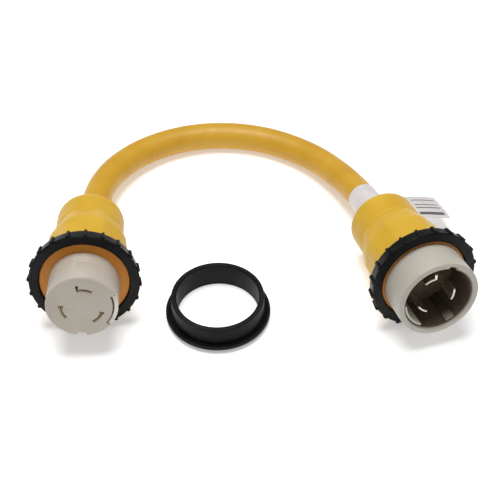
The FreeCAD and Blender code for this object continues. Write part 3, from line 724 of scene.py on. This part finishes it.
def make_boot(side):
    """Boot with flats, a mould seam on both sides and painted shade, a deeper amber, round its
    front.
    """
    edge = RING_START[side] - RING_GAP - FLAT_END

    def reshape(angle, radius, height):
        reach = height + BOOT_REACH[side]
        outside = radius > (OUTSIDE_FRONT if height > SEAT_START - 1 else OUTSIDE_REAR)
        if not outside or height > edge or reach < BULB_LENGTH:
            return radius, height
        cut = boot_radius(angle, radius, reach)
        if abs((angle + 90) % 180 - 90) < SEAM_HALF:
            cut += SEAM_HEIGHT
        return cut, height

    outline = boot_outline(side)
    boot = lathe(side + "_boot_moulding", outline, boot_angles(), SIDES[side], reshape)
    layer = boot.data.uv_layers.new(name="recess")
    # A UV X of 1 marks the front of the boot that is painted in shade.
    for loop in boot.data.loops:
        height = outline[loop.vertex_index % len(outline)][1]
        in_front_painted_shade = height > RING_START[side] + PAINTED_SHADE_START
        layer.data[loop.index].uv = (1.0 if in_front_painted_shade else 0.0, 0.0)
    finish_piece(boot, side + "_boot", "adapter", "boot_yellow")


# ---------------------------------------------------------------- locking rings

RING_WIDTH = 10.0
RING_RADIUS = 39.3
RING_REAR_RADIUS = 38.2
RING_BORE = 32.3
LIP_BORE = 28.4
RIB_COUNT = 20
RIB_ANGLE = {"female": 83.5, "male": 79.75}
RIB_PITCH = 360 / RIB_COUNT
RIB_HALF = 0.95
RIB_HALF_ANGLE = math.degrees(RIB_HALF / RING_RADIUS)
RIB_HEIGHT = 1.3
# A rib starts this far inside the rim and gains its height over the rise. Its side slopes
# down to its foot, both as shares of its half width.
RIB_ROOT = 1.5
RIB_RISE = 0.8
RIB_FOOT = 1.18
RIB_SIDE = 0.26
RING_CHAMFER = 1.0
RING_STEP = 0.9


def rib_angles(middle):
    """Columns round the ring: close together at each rib's sides, wider between ribs."""
    half = RIB_HALF_ANGLE
    near = [half * share for share in (0.0, 0.45, 0.72, 0.88, 1.0, 1.08, 1.2, 1.6)]
    between = [2 * half + (RIB_PITCH / 2 - 2 * half) * share for share in (0.15, 0.45, 0.8)]
    offsets = near + between
    offsets = [-value for value in reversed(offsets[1:])] + offsets
    return [middle + RIB_PITCH * index + offset
            for index in range(RIB_COUNT) for offset in offsets]


def make_ring(side):
    """Ribbed ring: each rib runs across the rim and fades into the chamfer at both ends."""
    start = RING_START[side]
    front = start + RING_WIDTH
    middle = RIB_ANGLE[side]
    outline = finer(rounded([
        (LIP_BORE, start, 0.4),
        (RING_REAR_RADIUS - RING_CHAMFER, start, 0.5),
        (RING_REAR_RADIUS, start + RING_CHAMFER, 0.5),
        (RING_RADIUS, front - RING_CHAMFER, 0.5),
        (RING_RADIUS - RING_CHAMFER, front, 0.5),
        (RING_BORE, front, 0.6),
        (RING_BORE, start + LIP_WIDTH, 0.3),
        (LIP_BORE, start + LIP_WIDTH, 0.4),
    ]), RING_STEP, RING_RADIUS)

    def reshape(angle, radius, height):
        rim = RING_REAR_RADIUS + (RING_RADIUS - RING_REAR_RADIUS) * (height - start) / RING_WIDTH
        outward = held((radius - (rim - RIB_ROOT)) / RIB_RISE)
        turn = abs((angle - middle + RIB_PITCH / 2) % RIB_PITCH - RIB_PITCH / 2)
        side_fade = eased(held((RIB_FOOT - turn / RIB_HALF_ANGLE) / RIB_SIDE))
        return radius + RIB_HEIGHT * outward * side_fade, height

    ring = lathe(side + "_ring_moulding", outline, rib_angles(middle), SIDES[side], reshape)
    finish_piece(ring, side + "_locking_ring", side + "_ring", "ring_black")


# ---------------------------------------------------------------- shroud and collar

SHROUD_RADIUS = 30.0
SHROUD_BORE = 25.6
SHROUD_RIM = 101.0
SHROUD_GAP = 0.1
SHROUD_COLUMNS = 180
SLEEVE_RADIUS = 27.0
SLEEVE_BORE = 23.5
SLEEVE_START = 50.0
INSERT_STEP = 69.0
INSERT_FACE = 71.0
KEY_ANGLE = 70.0
KEY_HALF = 7.0
KEY_DEPTH = 1.5
KEY_SIDE = 0.4
KEY_CLEAR = 1.5
KEY_COLUMNS = (-5, -3, -1, 1, 3, 5)
COLLAR_BORE = 30.1
COLLAR_RADIUS = 34.0
COLLAR_FLANGE_RADIUS = 38.5
COLLAR_HEIGHT = 19.5
COLLAR_BEVEL = 0.9
COLLAR_LIP = 1.2
COLLAR_COLUMNS = 192


def make_shroud():
    """White shroud with a rounded rim and the key groove inside it."""
    boot_front = RING_START["male"] + LIP_WIDTH + RING_GAP + FLANGE_WIDTH
    step = boot_front + SHROUD_GAP
    outline = rounded([
        (SLEEVE_BORE, SLEEVE_START, 0.4),
        (SLEEVE_RADIUS, SLEEVE_START, 0.5),
        (SLEEVE_RADIUS, step, 0.3),
        (SHROUD_RADIUS, step, 0.5),
        (SHROUD_RADIUS, SHROUD_RIM, 1.1),
        (SHROUD_BORE, SHROUD_RIM, 0.9),
        (SHROUD_BORE, INSERT_STEP, 0.3),
        (SLEEVE_BORE, INSERT_STEP, 0.3),
    ])
    angles = [angle for angle in even_angles(SHROUD_COLUMNS)
              if abs(angle - KEY_ANGLE) > KEY_HALF + KEY_CLEAR]
    sides = [KEY_ANGLE + turn * (KEY_HALF + fade)
             for turn in (-1, 1) for fade in (-KEY_SIDE, KEY_SIDE)]
    inner = [KEY_ANGLE + turn for turn in KEY_COLUMNS]

    def reshape(angle, radius, height):
        bore = radius < SHROUD_BORE + 1 and height > INSERT_FACE
        keyed = bore and abs(angle - KEY_ANGLE) < KEY_HALF
        return (radius + KEY_DEPTH if keyed else radius), height

    shroud = lathe("male_shroud_moulding", outline, sorted(angles + sides + inner), MALE, reshape)
    finish_piece(shroud, "male_shroud", "adapter", "shroud_white")


def make_collar():
    """Loose rubber collar with a rolled flange edge and a bevelled mouth."""
    low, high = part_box("sealing_collar")
    centre = (low + high) / 2
    centre.z = 0
    outline = rounded([
        (COLLAR_BORE, 0.0, 0.4),
        (COLLAR_RADIUS, 0.0, 0.6),
        (COLLAR_FLANGE_RADIUS, 3.0, 0.7),
        (COLLAR_FLANGE_RADIUS, 5.4, 0.6),
        (COLLAR_FLANGE_RADIUS - COLLAR_LIP, 5.4, 0.5),
        (COLLAR_RADIUS, 3.2, 0.5),
        (COLLAR_RADIUS, COLLAR_HEIGHT, 0.9),
        (COLLAR_BORE + COLLAR_BEVEL, COLLAR_HEIGHT, 0.5),
        (COLLAR_BORE, COLLAR_HEIGHT - COLLAR_BEVEL, 0.4),
    ])
    place = Matrix.Translation(centre)
    collar = lathe("collar_moulding", outline, even_angles(COLLAR_COLUMNS), place)
    finish_piece(collar, "sealing_collar", "collar", "collar_black")


# ---------------------------------------------------------------- cable and its label

def cable_points():
    """The route's corners: both ends on the connectors' axes, and the chosen ones between."""
    ends = [SIDES[side] @ Vector((0, 0, height * MM)) for side in SIDES
            for height in (CABLE_INSET, -BOOT_REACH[side] - CABLE_STRAIGHT)]
    corners = [Vector(corner) * MM for corner in CABLE_CORNERS]
    return ends[:2] + corners + [ends[3], ends[2]]


def make_cable():
    """The jacket: one smooth line with the route's points as its control points."""
    curve = bpy.data.curves.new("cable_jacket_skin", "CURVE")
    curve.dimensions = "3D"
    spline = curve.splines.new("NURBS")
    points = cable_points()
    spline.points.add(len(points) - 1)
    for point, place in zip(spline.points, points):
        point.co = (*place, 1.0)
    spline.order_u = 3
    spline.use_endpoint_u = True
    spline.resolution_u = 16
    curve.bevel_depth = CABLE_RADIUS
    curve.bevel_resolution = 14
    curve.use_fill_caps = True
    cable = bpy.data.objects.new("cable_jacket_skin", curve)
    bpy.context.collection.objects.link(cable)
    curve.materials.append(MATERIALS["cable_yellow"])
    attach(cable, "adapter")
    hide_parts("cable_jacket")
    return cable


def centreline(cable):
    """Points along the cable's own line, evenly close, from the male end."""
    bare = cable.copy()
    bare.data = cable.data.copy()
    bare.data.bevel_depth = 0.0
    bpy.context.collection.objects.link(bare)
    graph = bpy.context.evaluated_depsgraph_get()
    mesh = bpy.data.meshes.new_from_object(bare.evaluated_get(graph))
    points = [vertex.co.copy() for vertex in mesh.vertices]
    bpy.data.objects.remove(bare)
    return list(reversed(points))


def along(points, distance):
    """The point a distance along a line of points, and the line's direction there."""
    for first, second in zip(points, points[1:]):
        length = (second - first).length
        if distance <= length:
            return first.lerp(second, distance / length), (second - first).normalized()
        distance -= length
    return points[-1], (points[-1] - points[-2]).normalized()


# The band starts this far behind the male boot. The flag's tip is at its reach and drop
# from the cable's axis.
BAND_START = 1.5
BAND_WIDTH = 31.5
BAND_LIFT = 0.15
BAND_THICKNESS = 0.28
BAND_TURN = 368
BAND_LAP_START = 0.93
BAND_LAP_LENGTH = 0.03
BAND_RIPPLE = 0.07
FLAG_REACH = 62.5
FLAG_DROP = 16.3
FLAG_ROOT_ANGLE = -32.0
FLAG_LIFT = 0.45
FLAG_THICKNESS = 0.34
FLAG_SAG = 0.5
FLAG_CURL = 0.9
FLAG_RIPPLE = 0.5


def section_frame(points, distance):
    """Matrix at a place on the cable: +Z back towards the plug, +Y on the upper side."""
    place, ahead = along(points, distance)
    forward = -ahead
    right = (MALE.to_3x3() @ Vector((1, 0, 0)))
    right = (right - forward * right.dot(forward)).normalized()
    up = forward.cross(right)
    rotation = Matrix((right, up, forward)).transposed().to_4x4()
    return Matrix.Translation(place) @ rotation


def make_band(points):
    """Label wound once round the cable, its end lapped over its start with a small step."""
    rows, turns = 14, 96
    start = CABLE_INSET + BOOT_REACH["male"] + BAND_START
    vertices = []
    for skin in (0, 1):
        for row in range(rows + 1):
            share = row / rows
            spot = section_frame(points, (start + BAND_WIDTH * share) * MM)
            for turn in range(turns + 1):
                angle = FLAG_ROOT_ANGLE - BAND_TURN * turn / turns
                lap = held((turn / turns - BAND_LAP_START) / BAND_LAP_LENGTH)
                ripple = noise.noise(Vector((turn * 0.11, share * 2.2, 3.0)))
                lift = BAND_LIFT + BAND_THICKNESS * (lap + skin) + BAND_RIPPLE * ripple
                vertices.append(spot @ polar(CABLE_RADIUS + lift * MM, angle))
    band = add_mesh("label_band_film", vertices, sheet_faces(rows, turns))
    add_uv(band, rows, turns, 0.0)
    smooth(band, 50)
    finish_piece(band, "label_band", "adapter", "label_white")
    return band


def make_flag():
    """Label's free end: two films stuck back to back, drooping and a little curled."""
    rows, steps = 16, 40
    root = polar(CABLE_RADIUS / MM + FLAG_LIFT, FLAG_ROOT_ANGLE)
    tip = Vector((FLAG_REACH, -FLAG_DROP, 0))
    vertices = []
    for skin in (0, 1):
        for row in range(rows + 1):
            share = row / rows
            for step in range(steps + 1):
                reach = step / steps
                point = root.lerp(tip, reach)
                ripple = noise.noise(Vector((reach * 3, share * 2, 9.0)))
                point.y += FLAG_SAG * FLAG_DROP * reach * (1 - reach)
                point.y += FLAG_CURL * reach * math.sin(share * math.pi)
                point.y += ripple * FLAG_RIPPLE * reach
                point.y -= skin * FLAG_THICKNESS
                point.z = -BOOT_REACH["male"] - BAND_START - BAND_WIDTH * share
                vertices.append(point * MM)
    flag = add_mesh("label_flag_film", vertices, sheet_faces(rows, steps), MALE)
    add_uv(flag, rows, steps, 1.0)
    smooth(flag, 50)
    finish_piece(flag, "label_flag", "adapter", "label_white")
    return flag


def sheet_faces(rows, columns):
    """Faces of a thin closed sheet, given as an under grid and then an upper grid."""
    width = columns + 1
    upper = (rows + 1) * width
    faces = []
    for row in range(rows):
        for column in range(columns):
            a = row * width + column
            faces.append((a, a + 1, a + 1 + width, a + width))
            faces.append((upper + a, upper + a + width, upper + a + 1 + width, upper + a + 1))
    for row in range(rows):
        for column in (0, columns):
            a = row * width + column
            faces.append((a, a + width, upper + a + width, upper + a))
    for column in range(columns):
        for row in (0, rows):
            a = row * width + column
            faces.append((a, a + 1, upper + a + 1, upper + a))
    return faces


def add_uv(piece, rows, columns, printed):
    """UV with X along the reach and Y across the width, or zero where printed is 0."""
    width = columns + 1
    layer = piece.data.uv_layers.new(name="film")
    for loop in piece.data.loops:
        row, column = divmod(loop.vertex_index % ((rows + 1) * width), width)
        layer.data[loop.index].uv = (printed * column / columns, printed * row / rows)


# ---------------------------------------------------------------- nose, contacts, CAD nodes

def make_softened():
    """CAD shapes that stay as they are, with their moulded or sheared edges rounded."""
    for node, width in (
        ("female_nose", 0.35),
        ("male_insert", 0.25),
        ("male_neutral_blade", 0.25),
        ("male_line_blade_a", 0.25),
        ("male_line_blade_b", 0.25),
        ("male_ground_strip_large", 0.2),
        (SMALL_STRIP, 0.2),
        ("female_ground_contact", 0.2),
    ):
        finish = "rail" if node == SMALL_STRIP else None
        finish_piece(softened(node, width), node, "adapter", SLOTS[node], finish)


NOSE_RADIUS = 25.0
RELIEF_ROOT = 24.7
RELIEF_SLOPE = 0.35
RELIEF_COLUMNS = 29
RELIEF_END_TURN = 0.8
RELIEF_END_SHARE = 0.72


def make_nose_relief():
    """Faint moulded relief on the upper side of the nose: two arched ridges and a panel.

    Each has its top's radius, its low and high edge along the axis, its middle angle and
    half its width as an angle.
    """
    for name, top, low, high, middle, half in (
        ("nose_ridge", 25.32, 79.3, 80.8, 83.0, 19.0),
        ("nose_step", 25.16, 76.6, 77.6, 83.0, 17.0),
        ("nose_panel", 25.18, 82.2, 98.6, 78.0, 17.8),
    ):
        piece = relief_band(name, top, low, high, middle, half)
        finish_piece(piece, None, "adapter", "nose_white")


def relief_band(name, top, low, high, middle, half):
    """A thin band raised on the nose, rooted in it, with sloped edges and lower ends."""
    section = (
        (RELIEF_ROOT, low), (NOSE_RADIUS, low), (top, low + RELIEF_SLOPE),
        (top, high - RELIEF_SLOPE), (NOSE_RADIUS, high), (RELIEF_ROOT, high))
    rows = []
    for column in range(RELIEF_COLUMNS):
        turn = -1 + 2 * column / (RELIEF_COLUMNS - 1)
        edge = min(1.0, (1 - abs(turn)) * half / RELIEF_END_TURN)
        share = RELIEF_END_SHARE + (1 - RELIEF_END_SHARE) * edge
        rows.append([
            polar((RELIEF_ROOT + (radius - RELIEF_ROOT) * share) * MM, middle + half * turn,
                  height * MM)
            for radius, height in section])
    piece = swept(name, rows, FEMALE)
    smooth(piece, 35)
    return piece


CONTACT_HALF = 19.6
CONTACT_COLUMNS = 25
CONTACT_ANGLES = {
    "female_neutral_contact": 76.0,
    "female_line_contact_a": 196.0,
    "female_line_contact_b": 316.0,
}


def make_contact(node, middle):
    """Two sprung brass leaves on a floor, bowed in towards each other behind the slot."""
    section = rounded([
        (12.2, 52.0, 0.2), (12.2, 88.0, 3.0), (13.75, 97.2, 1.2), (13.25, 100.5, 0.1),
        (13.9, 100.6, 0.1), (14.18, 97.2, 1.2), (12.9, 88.0, 3.0), (12.9, 55.0, 0.4),
        (15.7, 55.0, 0.4), (15.7, 88.0, 3.0), (14.42, 97.2, 1.2), (14.7, 100.6, 0.1),
        (15.35, 100.5, 0.1), (14.85, 97.2, 1.2), (16.4, 88.0, 3.0), (16.4, 52.0, 0.2),
    ])
    rows = []
    for column in range(CONTACT_COLUMNS):
        angle = CONTACT_HALF * (2 * column / (CONTACT_COLUMNS - 1) - 1)
        rows.append([polar(radius * MM, angle, height * MM) for radius, height in section])
    place = FEMALE @ Matrix.Rotation(math.radians(middle), 4, "Z")
    piece = swept(node + "_leaves", rows, place)
    smooth(piece, 40)
    finish_piece(piece, node, "adapter", SLOTS[node])


def finish_nodes():
    """Give every CAD node its material. Those that no piece stands for are seen with it."""
    for node, source in frame["nodes"].items():
        finish = "liner" if node == "male_liner" else SLOTS[node]
        source.data.materials.clear()
        source.data.materials.append(MATERIALS[finish])


# ---------------------------------------------------------------- the object and its scene

SLOTS = {part["node"]: part["material_slot"] for part in frame["record"]["subparts"]}
add_camera()
MATERIALS = make_materials()
cable_piece = make_cable()
line = centreline(cable_piece)
band_piece = make_band(line)
flag_piece = make_flag()
add_studio()
for side in SIDES:
    make_boot(side)
    make_ring(side)
make_shroud()
make_collar()
finish_nodes()
make_softened()
for contact, contact_angle in CONTACT_ANGLES.items():
    make_contact(contact, contact_angle)
make_nose_relief()
